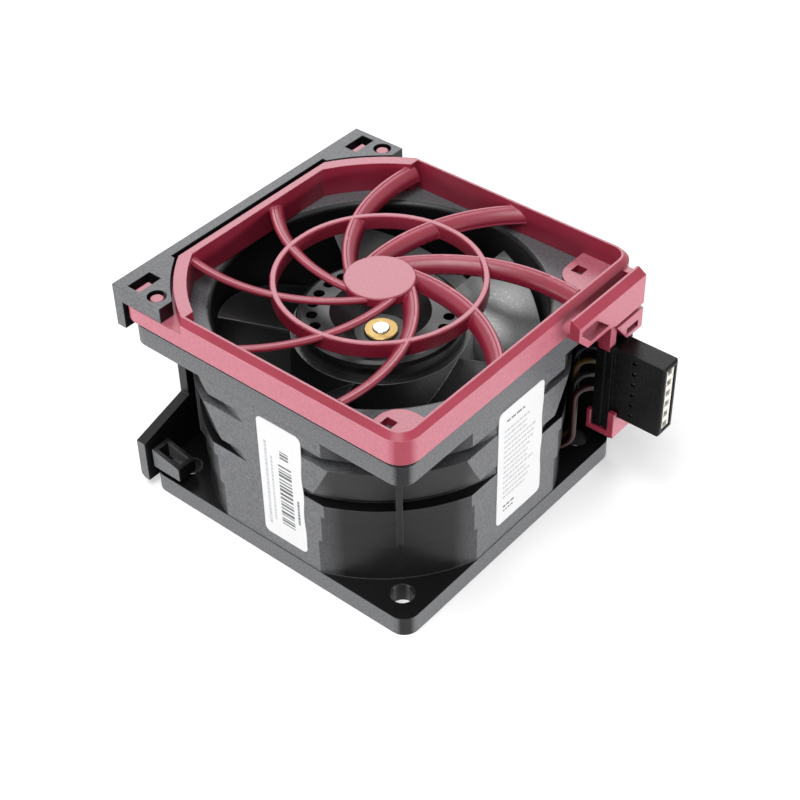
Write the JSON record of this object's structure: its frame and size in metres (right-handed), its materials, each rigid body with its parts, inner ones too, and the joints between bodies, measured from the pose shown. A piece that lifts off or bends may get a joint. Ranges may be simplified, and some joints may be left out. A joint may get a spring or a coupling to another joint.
{
  "type": "server fan module",
  "caption": "Square axial fan module with a swept-vane clip-on inlet guard, a handle plate along one side and a blind-mate connector on the opposite side.",
  "frame": {"origin": "on the fan axis at the outlet face, the centre of the four outlet flange holes", "axes": "+Z along the fan axis from the outlet to the inlet guard; +X towards the connector; -X towards the handle plate; +Y completes the right-handed set"},
  "size_m": [0.0766, 0.0622, 0.0454],
  "materials": {
    "black_plastic": "glass-filled moulded plastic, fine satin grain",
    "wine_plastic": "moulded plastic in port wine, semi-gloss",
    "impeller_plastic": "moulded plastic, satin",
    "connector_plastic": "moulded connector plastic, satin",
    "insert_plastic": "off-white moulded plastic",
    "contact_metal": "tin-plated phosphor bronze",
    "label_paper": "white polyester label",
    "brass": "turned brass",
    "bearing_steel": "ground bearing steel",
    "stator_steel": "stamped silicon-steel laminations",
    "insulator_plastic": "natural nylon",
    "magnet_wire": "enamelled copper wire",
    "board_laminate": "green solder-mask laminate",
    "chip_plastic": "moulded epoxy",
    "yoke_steel": "deep-drawn steel, blackened",
    "magnet_rubber": "bonded ferrite magnet",
    "shaft_steel": "ground steel",
    "spring_steel": "drawn spring wire",
    "lead_red": "insulated lead, red",
    "lead_black": "insulated lead, black",
    "lead_yellow": "insulated lead, yellow",
    "lead_blue": "insulated lead, blue"
  },
  "bodies": {
    "housing": {"fan_frame": "black_plastic", "inlet_guard": "wine_plastic", "handle_plate": "black_plastic", "connector_housing": "connector_plastic", "contact_insert": "insert_plastic", "connector_contacts": "contact_metal", "side_label_front": "label_paper", "side_label_right": "label_paper", "bearing_tube": "brass", "bearing_upper_outer": "bearing_steel", "bearing_lower_outer": "bearing_steel", "stator_core": "stator_steel", "stator_insulator_upper": "insulator_plastic", "stator_insulator_lower": "insulator_plastic", "stator_windings": "magnet_wire", "circuit_board": "board_laminate", "board_parts": "chip_plastic", "lead_power": "lead_red", "lead_ground": "lead_black", "lead_tach": "lead_yellow", "lead_pwm": "lead_blue"},
    "rotor": {"impeller": "impeller_plastic", "rotor_yoke": "yoke_steel", "rotor_magnet": "magnet_rubber", "shaft": "shaft_steel", "brass_bushing": "brass", "bearing_upper_inner": "bearing_steel", "bearing_lower_inner": "bearing_steel", "preload_spring": "spring_steel", "retaining_clip": "spring_steel"}
  },
  "joints": [
    {"name": "impeller_spin", "type": "hinge", "parent": "housing", "child": "rotor", "pos_m": [0, 0, 0.0072], "axis": [0, 0, 1], "continuous": true}
  ]
}
